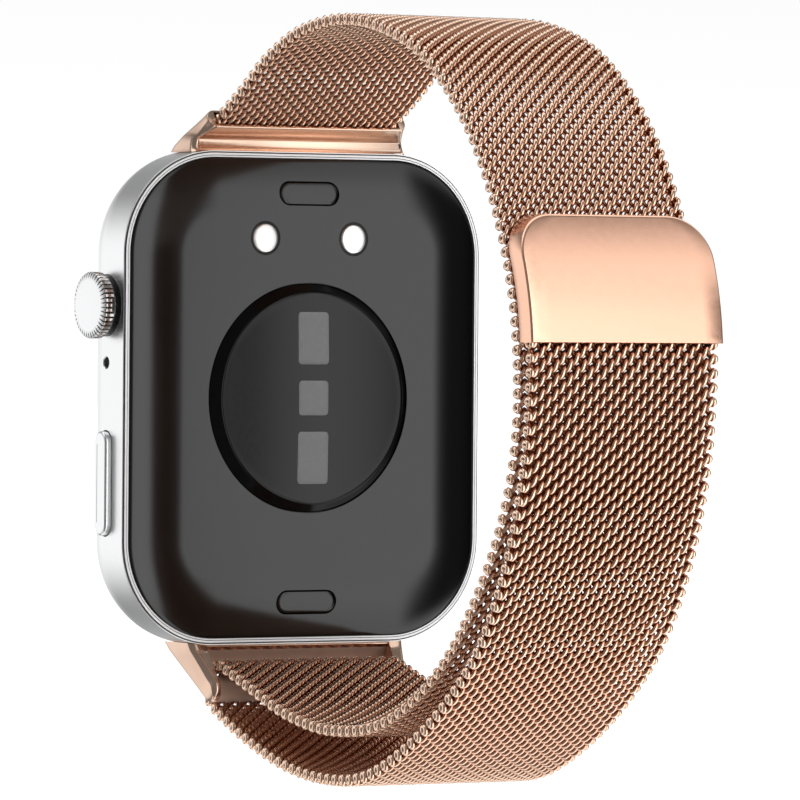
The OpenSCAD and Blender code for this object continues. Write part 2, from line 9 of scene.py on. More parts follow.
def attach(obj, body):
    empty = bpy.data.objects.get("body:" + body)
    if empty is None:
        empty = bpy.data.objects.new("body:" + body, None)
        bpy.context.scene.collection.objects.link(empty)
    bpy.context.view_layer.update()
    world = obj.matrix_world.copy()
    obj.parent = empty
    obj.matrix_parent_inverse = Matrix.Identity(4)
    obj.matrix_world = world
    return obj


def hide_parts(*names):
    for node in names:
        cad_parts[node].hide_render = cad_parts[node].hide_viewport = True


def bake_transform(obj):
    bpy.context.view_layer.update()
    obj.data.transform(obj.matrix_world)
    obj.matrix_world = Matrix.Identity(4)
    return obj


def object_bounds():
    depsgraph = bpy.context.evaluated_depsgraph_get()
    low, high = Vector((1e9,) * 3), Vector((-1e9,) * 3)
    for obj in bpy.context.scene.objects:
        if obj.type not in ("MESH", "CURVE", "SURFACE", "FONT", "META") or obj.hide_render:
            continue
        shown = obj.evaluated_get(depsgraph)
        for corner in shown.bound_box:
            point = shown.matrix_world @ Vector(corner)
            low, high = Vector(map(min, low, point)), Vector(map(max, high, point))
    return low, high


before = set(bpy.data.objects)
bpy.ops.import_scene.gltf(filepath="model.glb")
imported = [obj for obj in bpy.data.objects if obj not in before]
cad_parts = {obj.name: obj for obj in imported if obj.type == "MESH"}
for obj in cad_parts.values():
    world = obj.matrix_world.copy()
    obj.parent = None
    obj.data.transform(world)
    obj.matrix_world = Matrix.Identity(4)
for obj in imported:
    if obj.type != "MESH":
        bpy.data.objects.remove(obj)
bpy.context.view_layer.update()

# Lengths are in millimetres and become metres in mesh(). Case parts use (x, height, depth below the
# back's rim), and band parts use (x, Y, Z) with Y measured from that rim.
MM = 0.001
RISE = 1.9  # from the back's rim up to the frame's origin, which is the top of the CAD lens

# Case: the frame with its rim and wall, and the rounding that runs from its side onto the glass.
CASE_W, CASE_H, CORNER_R = 36.4, 43.2, 9.1
RIM_W, WALL, FRAME_DEPTH, FRONT_R = 0.6, 1.9, 6.2, 4.0
GLASS_FRONT = FRAME_DEPTH + 1.37
ROUND_START = GLASS_FRONT - FRONT_R

# Back cover: flat in the middle, with a margin that curves down to the rim.
COVER_W, COVER_H, COVER_R = CASE_W - 2 * RIM_W, CASE_H - 2 * RIM_W, CORNER_R - RIM_W
BACK_RISE, BACK_MARGIN = 0.8, 5.0
MARGIN_R = (BACK_MARGIN**2 + BACK_RISE**2) / (2 * BACK_RISE)
CONTACT_X, CONTACT_Z, RELEASE_Z = 4.5, 14, 17.95
LENS_TOP, LENS_DOME = 1.7, 0.2

# Crown side: where the side lies, the depth of its middle, and the heights of what sits on it.
SIDE_X, SIDE_MID = CASE_W / 2, 3.1
CROWN_Z, MIC_Z, BUTTON_Z = 8.0, 3.0, -7.5
CROWN_TEETH = 42

# Connectors: feet in the case's channels, the upper one's slanted slot (LUG) and the lower one's bar.
BAND_W, BAND_T = 18.4, 1.15
CHANNEL_FLOOR = CASE_H / 2 - 1.65
CONNECTOR_W, FLARE_W, BAR_R = 20.2, 22.0, 1.15
CONNECTOR_LOW, ROOT_FRONT, ROOT_REAR = CASE_H / 2 + 0.1, -0.67, -6.1
MOUTH = np.array([0.1, 24.33])
LUG = math.radians(30)
LUG_DIR = np.array([math.cos(LUG), math.sin(LUG)])
LUG_UP = np.array([-math.sin(LUG), math.cos(LUG)])
SLAB_T = BAND_T + 0.56
BAR = np.array([0.75, -25.4])
FOLD_SLACK = 0.15
FOLD_R = BAR_R + 0.05 + FOLD_SLACK + BAND_T / 2

# Clasp: a plate bent round CLASP_C, between two angles.
CLASP_C, CLASP_R, CLASP_T = np.array([26.9, 3.6]), 25.05, 2.0
CLASP_W, CLASP_CORNER, CLASP_SKIN = 18.8, 3.6, 0.42
CLASP_LOW, CLASP_HIGH = math.radians(3.7), math.radians(29)

# Weave: turns in a spiral, distance between rows, the wire, and half a turn's size (less at the edges).
PITCH_TURNS, ROW = 13.5, 0.59
WIRE_R = 0.215
HALF_THICK, HALF_LONG, END_LONG = 0.36, 0.5, 0.26
PIECE_ROWS = 76  # most rows in one piece

TAIL_SWING = 28  # how far the opened tail comes down past the resting watch


# ---------------------------------------------------------------- materials


class Nodes:
    """Short calls for building one material's nodes."""

    def __init__(self, tree):
        self.tree = tree

    def add(self, kind, **inputs):
        node = self.tree.nodes.new(kind)
        for key, value in inputs.items():
            self.put(node, key, value)
        return node

    def put(self, node, key, value):
        socket = node.inputs[int(key[1:])] if key[:1] == "_" else node.inputs[key.replace("_", " ")]
        if isinstance(value, bpy.types.NodeSocket):
            self.tree.links.new(value, socket)
        else:
            socket.default_value = value

    def math(self, operation, *values):
        node = self.tree.nodes.new("ShaderNodeMath")
        node.operation = operation
        for i, value in enumerate(values):
            self.put(node, f"_{i}", value)
        return node.outputs[0]

    def ramp(self, value, stops, interpolation="LINEAR"):
        node = self.add("ShaderNodeValToRGB", _0=value)
        node.color_ramp.interpolation = interpolation
        elements = node.color_ramp.elements
        while len(elements) < len(stops):
            elements.new(0.5)
        for element, (place, colour) in zip(elements, sorted(stops, key=lambda s: s[0])):
            element.position = place
            element.color = (*colour, 1) if hasattr(colour, "__len__") else (colour,) * 3 + (1,)
        return node.outputs[0]

    def noise(self, scale):
        place = self.add("ShaderNodeTexCoord").outputs["Object"]
        return self.add("ShaderNodeTexNoise", Vector=place, Scale=scale, Detail=3.0).outputs["Fac"]


def surface(name, dark, light, metallic, rough, grain, bump=0.0, **more):
    """A Principled material whose colour and roughness wander with a noise of that grain, per metre."""
    material = bpy.data.materials.new(name)
    material.use_nodes = True
    nodes = Nodes(material.node_tree)
    shader = material.node_tree.nodes["Principled BSDF"]
    noise = nodes.noise(grain)
    nodes.put(shader, "Base_Color", nodes.ramp(noise, [(0.3, dark), (0.7, light)]))
    shader.inputs["Metallic"].default_value = metallic
    low, high = rough
    spread = nodes.add("ShaderNodeMapRange", Value=noise, From_Min=0.3, From_Max=0.7, To_Min=low, To_Max=high)
    nodes.put(shader, "Roughness", spread.outputs[0])
    if bump:
        raised = nodes.add("ShaderNodeBump", Height=noise, Strength=bump, Distance=0.00002)
        nodes.put(shader, "Normal", raised.outputs[0])
    for key, value in more.items():
        nodes.put(shader, key, value)
    return material


def metal_with_painted_shade(name, stops, rough, grain):
    """A metal with painted shade in its hollows: its colour is multiplied by a ramp of the mesh's
    painted_shade_relief attribute, from 0 in mid-weave (darkest) to 1 on its faces.
    """
    material = surface(name, (0.9, 0.9, 0.9), (1, 1, 1), 1, rough, grain)
    nodes = Nodes(material.node_tree)
    base = material.node_tree.nodes["Principled BSDF"].inputs["Base Color"]
    shade = base.links[0].from_socket
    painted_shade_relief = nodes.add("ShaderNodeAttribute")
    painted_shade_relief.attribute_name = "painted_shade_relief"
    painted_shade = nodes.add("ShaderNodeMix", Factor=1.0)
    painted_shade.data_type, painted_shade.blend_type = "RGBA", "MULTIPLY"
    nodes.put(painted_shade, "_6", nodes.ramp(painted_shade_relief.outputs["Fac"], stops))
    nodes.put(painted_shade, "_7", shade)
    material.node_tree.links.new(painted_shade.outputs[2], base)
    return material


# Painted shade for the woven band: colours multiplied into the wire's own colour, deep brown in mid-weave
# where shade falls, and full colour on the wires' faces and at the band's edges.
WIRE_PAINTED_SHADE = [
    (0, (0.22, 0.07, 0.032)),
    (0.5, (0.52, 0.235, 0.135)),
    (0.72, (0.8, 0.475, 0.325)),
    (0.88, (0.95, 0.65, 0.48)),
    (1, (0.98, 0.7, 0.53)),
]

MATERIALS = {
    # case, back and lens
    "case_aluminium": surface("bead_blasted_aluminium", (0.86, 0.865, 0.87), (0.91, 0.915, 0.92), 1,
                              (0.3, 0.36), 9000, bump=0.12),
    "back_plastic": surface("back_black", (0.0014, 0.0014, 0.0015), (0.0022, 0.0022, 0.0023), 0,
                            (0.14, 0.17), 6000, bump=0.03, Specular_IOR_Level=0.5),
    "lens": surface("lens_black", (0.001, 0.001, 0.001), (0.002, 0.002, 0.002), 0,
                    (0.13, 0.16), 5000, Specular_IOR_Level=0.28),
    "lens_rim": surface("lens_rim_black", (0.002, 0.002, 0.002), (0.003, 0.003, 0.003), 0,
                        (0.1, 0.14), 800, Specular_IOR_Level=0.12),
    "window": surface("window_grey", (0.195, 0.197, 0.2), (0.215, 0.217, 0.22), 0,
                      (0.4, 0.45), 2500, Specular_IOR_Level=0.3),
    "contact": surface("contact_plate", (0.9, 0.9, 0.89), (0.96, 0.96, 0.95), 1, (0.34, 0.4), 3000),
    "rim": surface("rim_edge", (0.88, 0.89, 0.9), (0.92, 0.925, 0.93), 0.2, (0.3, 0.36), 6000, bump=0.03),
    # painted shade for the rim's grooves and its gap against the back cover
    "rim_painted_shade": surface("rim_painted_shade", (0.05, 0.05, 0.05), (0.08, 0.08, 0.08), 0.3, (0.4, 0.5), 3000),
    # crown materials for painted shade: darker tooth flanks, and near-black slits and collar
    "crown_painted_shade_flank": surface("crown_painted_shade_flank", (0.5, 0.47, 0.45), (0.62, 0.6, 0.58), 1, (0.14, 0.2), 1500),
    "crown_painted_shade_dark": surface("crown_painted_shade_dark", (0.13, 0.13, 0.13), (0.2, 0.2, 0.2), 1, (0.3, 0.4), 3000),
    "display_glass": surface("glass_black", (0.002, 0.002, 0.0025), (0.004, 0.004, 0.005), 0,
                             (0.03, 0.05), 200),
    # band, connectors and clasp
    "rose_polished": surface("rose_polished", (0.74, 0.52, 0.4), (0.77, 0.545, 0.42), 1, (0.17, 0.2), 700),
    # darker, duller copy of the rose metal: painted shade on the lower connector's inner walls and bar
    "rose_wall_painted_shade": surface("rose_wall_painted_shade", (0.5, 0.34, 0.26), (0.55, 0.37, 0.285), 0.5, (0.36, 0.4), 900),
    # band wires: rose metal with painted shade in the weave's hollows
    "rose_wire": metal_with_painted_shade("rose_wire", WIRE_PAINTED_SHADE, (0.16, 0.22), 2500),
    "rose_satin": surface("rose_satin", (0.92, 0.54, 0.38), (0.96, 0.57, 0.41), 1, (0.24, 0.27), 1500),
    # inner pieces
    "polished_steel": surface("steel", (0.72, 0.72, 0.73), (0.8, 0.8, 0.81), 1, (0.14, 0.2), 2500),
    "seal": surface("rubber", (0.01, 0.01, 0.01), (0.02, 0.02, 0.02), 0, (0.6, 0.8), 3000, bump=0.1),
    "panel": surface("panel", (0.01, 0.01, 0.014), (0.014, 0.014, 0.02), 0, (0.15, 0.2), 800),
    "chassis": surface("chassis", (0.4, 0.4, 0.41), (0.5, 0.5, 0.51), 1, (0.35, 0.45), 3000, bump=0.1),
    "screws": surface("screws", (0.6, 0.6, 0.6), (0.7, 0.7, 0.7), 1, (0.2, 0.3), 5000),
    "board": surface("board", (0.01, 0.07, 0.03), (0.02, 0.12, 0.05), 0, (0.4, 0.5), 2500),
    "tinned_steel": surface("tinned", (0.6, 0.6, 0.6), (0.72, 0.72, 0.72), 1, (0.25, 0.4), 4000, bump=0.1),
    "battery_foil": surface("foil", (0.25, 0.27, 0.3), (0.35, 0.37, 0.4), 0.6, (0.35, 0.5), 1500, bump=0.1),
    "magnet": surface("magnet", (0.3, 0.3, 0.32), (0.4, 0.4, 0.42), 1, (0.3, 0.4), 3000),
}

# ---------------------------------------------------------------- mesh tools


def plate(p):
    """(x, height, depth) in the case's plate frame to the row frame, in millimetres."""
    p = np.asarray(p, float).reshape(-1, 3)
    return np.stack([p[:, 0], -p[:, 2] - RISE, p[:, 1]], 1)


def side(p, z=0.0):
    """(along, across, out) on the case's crown side, about its middle at height z, to the row frame."""
    p = np.asarray(p, float).reshape(-1, 3)
    return np.stack([p[:, 2], -p[:, 1] - SIDE_MID - RISE, p[:, 0] + z], 1)


def band(p):
    """(x, Y, Z) measured from the back's rim to the row frame."""
    return np.asarray(p, float).reshape(-1, 3) - [0, RISE, 0]


def mesh(name, verts, faces, welded=True):
    """A mesh object from points in millimetres."""
    data = bpy.data.meshes.new(name)
    data.from_pydata((np.asarray(verts, float) * MM).tolist(), [], faces)
    obj = bpy.data.objects.new(name, data)
    bpy.context.scene.collection.objects.link(obj)
    if welded:
        weld(obj)
    return obj


def weld(obj):
    """Merges points that meet and turns every face outwards."""
    work = bmesh.new()
    work.from_mesh(obj.data)
    bmesh.ops.remove_doubles(work, verts=work.verts, dist=1e-7)
    bmesh.ops.recalc_face_normals(work, faces=work.faces)
    work.to_mesh(obj.data)
    work.free()


def smooth(obj, angle):
    """Smooth shading, with edges sharper than that angle kept sharp."""
    obj.data.shade_smooth()
    obj.data.set_sharp_from_angle(angle=math.radians(angle))
    return obj


def bake_modifiers(obj):
    """Replaces the object's mesh by what its modifiers make of it."""
    graph = bpy.context.evaluated_depsgraph_get()
    made = bpy.data.meshes.new_from_object(obj.evaluated_get(graph))
    obj.modifiers.clear()
    obj.data = made
    return obj


def cut(obj, *tools):
    """Takes closed meshes out of obj."""
    for tool in tools:
        change = obj.modifiers.new("cut", "BOOLEAN")
        change.operation, change.solver, change.object = "DIFFERENCE", "EXACT", tool
    bake_modifiers(obj)
    for tool in tools:
        bpy.data.objects.remove(tool)
    return obj


def join(obj, *others):
    """Unites closed meshes into obj."""
    for other in others:
        change = obj.modifiers.new("join", "BOOLEAN")
        change.operation, change.solver, change.object = "UNION", "EXACT", other
    bake_modifiers(obj)
    for other in others:
        bpy.data.objects.remove(other)
    return obj


def bevel(obj, width, segments, angle):
    change = obj.modifiers.new("bevel", "BEVEL")
    change.width, change.segments, change.limit_method = width * MM, segments, "ANGLE"
    change.angle_limit = math.radians(angle)
    change.harden_normals = False
    change.miter_outer = "MITER_ARC"
    return bake_modifiers(obj)


def finish_piece(obj, slot, body, *nodes):
    """Gives a piece the material of that slot, hides the CAD nodes it stands in for, and attaches it to the
    body it moves with.
    """
    obj.data.materials.clear()
    obj.data.materials.append(MATERIALS[slot])
    if nodes:
        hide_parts(*nodes)
    if body:
        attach(obj, body)
    return obj


def arc(centre, radius, start, end, count):
    """Points along an arc, its angles in degrees."""
    angles = np.radians(np.linspace(start, end, count + 1))
    return [(centre[0] + radius * math.cos(a), centre[1] + radius * math.sin(a)) for a in angles]


def stations(w, h, r, steps=14, extra=(0.25,)):
    """Places round a w by h plate of corner radius r, and the outward direction at each."""
    places, outward = [], []
    for q, (sx, sy) in enumerate([(1, 1), (-1, 1), (-1, -1), (1, -1)]):
        centre = np.array([sx * (w / 2 - r), sy * (h / 2 - r)])
        for i in range(steps + 1):
            a = math.radians(90 * q + 90 * i / steps)
            n = np.array([math.cos(a), math.sin(a)])
            places.append(centre + r * n)
            outward.append(n)
        along = np.array([-n[1], n[0]])
        length = (w if q % 2 == 0 else h) - 2 * r
        near = [e for e in extra if e < length / 2]
        for share in near + [length - e for e in reversed(near)]:
            places.append(centre + r * n + along * share)
            outward.append(n)
    return np.array(places), np.array(outward)


def ring_faces(count, size, closed):
    """Quads between count neighbouring stations of size points each, numbered station by station."""
    faces = []
    for j in range(count):
        k = (j + 1) % count
        for i in range(size if closed else size - 1):
            m = (i + 1) % size
            faces.append((j * size + i, k * size + i, k * size + m, j * size + m))
    return faces


def swept(profile, places, outward):
    """Points of an outline of (outward, depth) pairs carried round the stations."""
    profile = np.asarray(profile, float)
    xy = places[:, None, :] + outward[:, None, :] * profile[None, :, :1]
    depth = np.broadcast_to(profile[None, :, 1:], xy.shape[:2] + (1,))
    return np.concatenate([xy, depth], 2).reshape(-1, 3)


def slab(name, w, h, r, profile, to=plate, steps=14, at=(0, 0)):
    """A closed plate whose edge follows profile, from its lower face to its upper face."""
    places, outward = stations(w, h, r, steps)
    verts = swept(profile, places, outward) + [at[0], at[1], 0]
    n, m = len(places), len(profile)
    faces = ring_faces(n, m, False)
    faces.append([j * m for j in range(n)])
    faces.append([j * m + m - 1 for j in reversed(range(n))])
    return mesh(name, to(verts), faces)


def turned(name, profile, to, steps=96, centre=(0, 0), radius=None):
    """A solid of revolution from (radius, height) pairs. radius(angle, r, i) may change each point's."""
    angles = np.linspace(0, 2 * math.pi, steps, endpoint=False)
    rows = []
    for i, (r, h) in enumerate(profile):
        rr = radius(angles, r, i) if radius else np.full(steps, r)
        across, up = centre[0] + rr * np.cos(angles), centre[1] + rr * np.sin(angles)
        rows.append(np.stack([across, up, np.full(steps, h)], 1))
    verts = np.stack(rows, 1).reshape(-1, 3)
    faces = ring_faces(steps, len(profile), False)
    m = len(profile)
    faces.append([j * m for j in range(steps)])
    faces.append([j * m + m - 1 for j in reversed(range(steps))])
    return mesh(name, to(verts), faces)


def extruded(name, outline, x0, x1):
    """A side outline in (Y, Z) from x0 to x1."""
    n = len(outline)
    verts = [(x, y, z) for x in (x0, x1) for y, z in outline]
    faces = [(i, (i + 1) % n, (i + 1) % n + n, i + n) for i in range(n)]
    faces += [list(range(n)), list(reversed(range(n, 2 * n)))]
    return mesh(name, band(verts), faces)


def box(name, x, y, z, to):
    verts = [(a, b, c) for a in x for b in y for c in z]
    faces = [(0, 1, 3, 2), (4, 6, 7, 5), (0, 4, 5, 1), (2, 3, 7, 6), (0, 2, 6, 4), (1, 5, 7, 3)]
    return mesh(name, to(verts), faces)


# ---------------------------------------------------------------- case


def side_at(z):
    """The placing of a crown-side piece whose middle is at height z."""
    return lambda p: side(p, z)


def pill_cutter(name, length, width, z, x0, x1):
    return slab(name, length, width, width / 2 - 1e-4, [(0, x0), (0, x1)], side_at(z), steps=12)


def case_profile():
    """The case wall's outline in (outward, depth), from the rim inside the back round to the glass seat."""
    rim_seat = [(-WALL, 1.12), (-RIM_W + 0.01, 1.12), (-RIM_W + 0.01, 0.06), (-RIM_W + 0.05, 0.0)]
    rim_line = [(-0.44, 0.0), (-0.43, 0.05), (-0.38, 0.05), (-0.37, 0.0)]
    wall_groove = [(-0.22, 0.0), (-0.19, 0.03), (-0.18, 0.16), (-0.08, 0.16), (-0.07, 0.1)]
    wall = arc((-0.07, 0.15), 0.07, -60, 0, 4) + [(0, 0.4), (0, 2.0), (0, ROUND_START - 0.15)]
    end = math.degrees(math.asin((FRAME_DEPTH - 0.03 - ROUND_START) / FRONT_R))
    front = arc((-FRONT_R, ROUND_START), FRONT_R, 0, end, 18)
    glass_seat = [(front[-1][0] - 0.05, FRAME_DEPTH), (-WALL, FRAME_DEPTH)]
    return rim_seat + rim_line + wall_groove + wall + front + glass_seat


def case_openings():
    """Closed meshes of all that is cut out of the case: the band's channels and the openings in its sides."""
    half_w = (CONNECTOR_W + 0.2) / 2
    tools = [
        box(f"channel{s}", (-half_w, half_w), (s * CHANNEL_FLOOR, s * (CHANNEL_FLOOR + 3)), (1.6, 5.6), plate)
        for s in (1, -1)
    ]
    mouth = [(0.5, SIDE_X - 3), (0.5, SIDE_X - 0.06), (0.58, SIDE_X + 0.01), (0.58, SIDE_X + 1)]
    tools.append(turned("mic_bore", mouth, side_at(MIC_Z), 32))
    bore = [(1.5, SIDE_X - 3), (1.5, SIDE_X - 0.1), (1.65, SIDE_X + 0.02), (1.65, SIDE_X + 1)]
    tools.append(turned("crown_bore", bore, side_at(CROWN_Z), 48))
    tools.append(pill_cutter("button_pocket", 9.3, 2.3, BUTTON_Z, SIDE_X - 1.1, SIDE_X + 1))
    for z in (6, 10.5):
        tools.append(pill_cutter(f"speaker_slot{z}", 3.4, 0.9, z, -SIDE_X - 1, -SIDE_X + 3))
    return tools


def rim_inset(point):
    """How far inside the case's outline a point lies."""
    x, z = abs(point[0] / MM), abs(point[2] / MM)
    dx, dz = x - (CASE_W / 2 - CORNER_R), z - (CASE_H / 2 - CORNER_R)
    if dx > 0 and dz > 0:
        return CORNER_R - math.hypot(dx, dz)
    return CORNER_R - max(dx, dz)


def paint_rim(shell):
    """The rim's own finish, with painted shade in its two grooves and along the gap against the back cover: a
    near-black material there.
    """
    shell.data.materials.append(MATERIALS["rim"])
    shell.data.materials.append(MATERIALS["rim_painted_shade"])
    for face in shell.data.polygons:
        depth, inset = face.center[1] / -MM - RISE, rim_inset(face.center)
        if depth < 0.17 and 0.1 < inset < RIM_W + 0.05:
            in_wall_groove = depth > 0.05 and inset < 0.21
            in_rim_line = depth > 0.03 and 0.37 < inset < 0.44
            at_cover = inset > RIM_W - 0.04
            face.material_index = 2 if in_wall_groove or in_rim_line or at_cover else 1


def build_case():
    places, outward = stations(CASE_W, CASE_H, CORNER_R, 24, (0.3, 1.5))
    profile = case_profile()
    verts = swept(profile, places, outward)
    shell = mesh("case_shell", plate(verts), ring_faces(len(places), len(profile), True))
    cut(shell, *case_openings())
    finish_piece(smooth(shell, 30), "case_aluminium", "watch", "case_frame")
    paint_rim(shell)


def back_depth(x, z):
    """Depth of the crowned back's surface at (x, z)."""
    qx = np.abs(x) - (COVER_W / 2 - COVER_R)
    qz = np.abs(z) - (COVER_H / 2 - COVER_R)
    outside = np.hypot(np.maximum(qx, 0), np.maximum(qz, 0)) + np.minimum(np.maximum(qx, qz), 0) - COVER_R
    into = np.clip(BACK_MARGIN + outside, 0, BACK_MARGIN)
    return MARGIN_R - BACK_RISE - np.sqrt(MARGIN_R**2 - into**2)


def build_back():
    edge = [(0, 1.0), (0, 0.08), (-0.06, 0.01)]
    margin = [
        (-s, float(MARGIN_R - BACK_RISE - math.sqrt(MARGIN_R**2 - (BACK_MARGIN - s) ** 2)))
        for s in np.linspace(0.15, BACK_MARGIN, 26)
    ]
    flat = [(-BACK_MARGIN - 0.3, -BACK_RISE), (-BACK_MARGIN - 0.8, -BACK_RISE)]
    cover = slab("back_shell", COVER_W, COVER_H, COVER_R, edge + margin + flat, steps=24)
    cutters = [turned("seat", [(10.15, -0.3), (10.15, -2)], plate, 128)]
    for x in (-CONTACT_X, CONTACT_X):
        cutters.append(turned(f"hole{x}", [(1.5, 2), (1.5, -2)], plate, 48, (x, CONTACT_Z)))
    for z in (-RELEASE_Z, RELEASE_Z):
        cutters.append(slab(f"pill{z}", 6.14, 2.14, 1.069, [(0, 2), (0, -2)], at=(0, z)))
    cut(cover, *cutters)
    finish_piece(smooth(cover, 30), "back_plastic", "watch", "back_cover")


def build_release_buttons():
    edge = [(0, 1.2), (0, -0.72), (-0.02, -0.77), (-0.07, -0.8), (-0.3, -0.8), (-0.8, -0.8)]
    for name, z in (("upper", RELEASE_Z), ("lower", -RELEASE_Z)):
        cap = slab(f"release_cap_{name}", 5.92, 1.92, 0.959, edge, at=(0, z), steps=10)
        for v in cap.data.vertices:
            x, y, height = v.co / MM
            if y > 0.5 - RISE:
                v.co.y -= MM * (float(back_depth(x, height)) + BACK_RISE)
        body = "release_top" if name == "upper" else "release_bottom"
        finish_piece(smooth(cap, 40), "back_plastic", body, f"release_{name}")


def build_lens():
    dome_r = (9.2**2 + LENS_DOME**2) / (2 * LENS_DOME)
    profile = [(10.08, -0.3), (10.08, -0.7), (10.02, -0.8), (9.9, -0.9), (9.5, -1.28), (9.36, -1.41),
               (9.25, -1.48), (9.12, -1.507)]
    for r in (9.0, 8.5, 7.5, 6.0, 4.5, 3.0, 1.5, 0.5):
        profile.append((r, -LENS_TOP + dome_r - math.sqrt(dome_r**2 - r * r)))
    lens = turned("lens_dome", profile, plate, 192)
    windows = (("upper", 5.25, 3.1, 4.6), ("middle", 0, 3.0, 3.05), ("lower", -5.25, 3.1, 4.6))
    cut(lens, *(
        slab(f"w_{name}", w + 0.05, h + 0.05, 0.37, [(0, -1.2), (0, -3)], at=(0, z), steps=6)
        for name, z, w, h in windows
    ))
    finish_piece(smooth(lens, 25), "lens", "watch", "sensor_lens")
    lens.data.materials.append(MATERIALS["lens_rim"])
    for face in lens.data.polygons:
        face.material_index = int(math.hypot(face.center[0], face.center[2]) / MM > 9.3)
    for name, z, w, h in windows:
        build_window(name, z, w, h, dome_r)


def build_window(name, z, w, h, dome_r):
    """A pane whose face follows the lens."""
    edge = [(0, -1.2), (0, -LENS_TOP - 0.01), (-0.03, 0.01 - LENS_TOP), (-0.3, 0.01 - LENS_TOP)]
    pane = slab(f"pane_{name}", w, h, 0.35, edge, at=(0, z), steps=6)
    for v in pane.data.vertices:
        x, y, height = v.co / MM
        if y > -0.4:
            v.co.y -= MM * (dome_r - math.sqrt(dome_r**2 - x * x - height * height))
    finish_piece(smooth(pane, 40), "window", "watch", f"window_{name}")


def build_contacts():
    profile = [(1.28, 0.3), (1.28, -0.72), (1.25, -0.8), (1.17, -0.85), (1.0, -0.87), (0.5, -0.88),
               (0.05, -0.88)]
    for name, x in (("left", CONTACT_X), ("right", -CONTACT_X)):
        pin = turned(f"contact_face_{name}", profile, plate, 64, (x, CONTACT_Z))
        finish_piece(smooth(pin, 40), "contact", "watch", f"contact_{name}")


# The crown's outline: radius, height above its seat, and how deep the slits between its teeth are there.
CROWN_OUTLINE = [
    (2.45, 0, 0), (2.6, 0.04, 0), (2.62, 0.2, 0), (2.7, 0.22, 0.12), (2.86, 0.27, 0.26), (2.9, 0.34, 0.3),
    (2.9, 0.7, 0.3), (2.9, 1.08, 0.3), (2.87, 1.16, 0.3), (2.78, 1.22, 0.28), (2.62, 1.27, 0.22),
    (2.5, 1.3, 0.12), (2.4, 1.325, 0.04), (2.2, 1.345, 0), (1.5, 1.39, 0), (0.8, 1.42, 0), (0.1, 1.43, 0),
]


def build_crown():
    seat = SIDE_X + 0.5
    profile = [(r, seat + up) for r, up, _ in CROWN_OUTLINE]

    def teeth(angles, r, i):
        notch = 1 / (1 + np.exp(-16 * (np.cos(CROWN_TEETH * angles) - 0.72)))
        return r - CROWN_OUTLINE[i][2] * notch

    cap = turned("crown_cap_shell", profile, side_at(CROWN_Z), CROWN_TEETH * 14, radius=teeth)
    finish_piece(smooth(cap, 45), "case_aluminium", "crown", "crown_cap")
    paint_crown(cap, seat)
    # A dark ring on the case behind the crown: painted shade in the gap between crown and case.
    collar = [(1.6, SIDE_X - 0.2), (1.6, SIDE_X + 0.07), (2.65, SIDE_X + 0.07), (2.72, SIDE_X + 0.04),
              (2.75, SIDE_X - 0.2)]
    ring = turned("crown_shade_collar", collar, side_at(CROWN_Z), 96)
    finish_piece(smooth(ring, 40), "crown_painted_shade_dark", "watch")


def paint_crown(cap, seat):
    """Painted shade on the crown: darker flanks on the teeth, and dark slits between them."""
    cap.data.materials.append(MATERIALS["crown_painted_shade_flank"])
    cap.data.materials.append(MATERIALS["crown_painted_shade_dark"])
    axis = side([(0, 0, 0)], CROWN_Z)[0]
    tooth_foot = [(0.0, 2.5), (0.3, 2.81), (1.12, 2.81), (1.2, 2.69), (1.28, 2.46)]
    for face in cap.data.polygons:
        out, y, z = np.array(face.center) / MM - axis
        out, r = abs(out) - seat, math.hypot(y, z)
        if out < 1.29 and r > 2.3:
            in_slit = r < np.interp(out, *zip(*tooth_foot)) or out < 0.24
            face.material_index = 2 if in_slit else int(out < 1.14)


def build_microphone_shade_disc():
    # A black disc set a little inside the microphone bore: painted shade in the hole.
    profile = [(0.5, SIDE_X - 0.5), (0.5, SIDE_X - 0.3), (0.4, SIDE_X - 0.29), (0.05, SIDE_X - 0.29)]
    well = turned("mic_shade_disc", profile, side_at(MIC_Z), 32)
    finish_piece(smooth(well, 40), "seal", "watch")


def build_side_button():
    top = SIDE_X + 0.6
    profile = [(0, SIDE_X - 0.75), (0, top - 0.26), (-0.02, top - 0.15), (-0.08, top - 0.06),
               (-0.17, top - 0.01), (-0.24, top), (-0.4, top), (-0.7, top)]
    key = slab("side_key", 9.1, 2.1, 1.049, profile, side_at(BUTTON_Z))
    cut(key, box("groove", (-3.4, 3.4), (0.4, 0.5), (top - 0.06, top + 1), side_at(BUTTON_Z)))
    finish_piece(smooth(key, 30), "case_aluminium", "button", "side_button")


def build_glass():
    start = math.degrees(math.asin((FRAME_DEPTH + 0.06 - ROUND_START) / FRONT_R))
    curve = arc((-FRONT_R, ROUND_START), FRONT_R, start, 90, 24)
    edge, under = curve[0][0], FRAME_DEPTH + 0.15
    profile = [(-2.2, under), (edge - 0.08, under), (edge - 0.03, FRAME_DEPTH + 0.08)]
    profile += curve + [(-FRONT_R - 0.3, GLASS_FRONT), (-FRONT_R - 1, GLASS_FRONT)]
    glass = slab("cover_glass", CASE_W, CASE_H, CORNER_R, profile, steps=24)
    finish_piece(smooth(glass, 30), "display_glass", "watch", "display_glass")


# ---------------------------------------------------------------- connectors


def foot(name, sign):
    """The tongue of a connector that slides in the case's channel."""
    half_w = CONNECTOR_W / 2 - 0.2
    heights = (sign * (CHANNEL_FLOOR + 0.1), sign * (CASE_H / 2 + 0.35))
    return box(name, (-half_w, half_w), heights, (1.72, 5.48), plate)


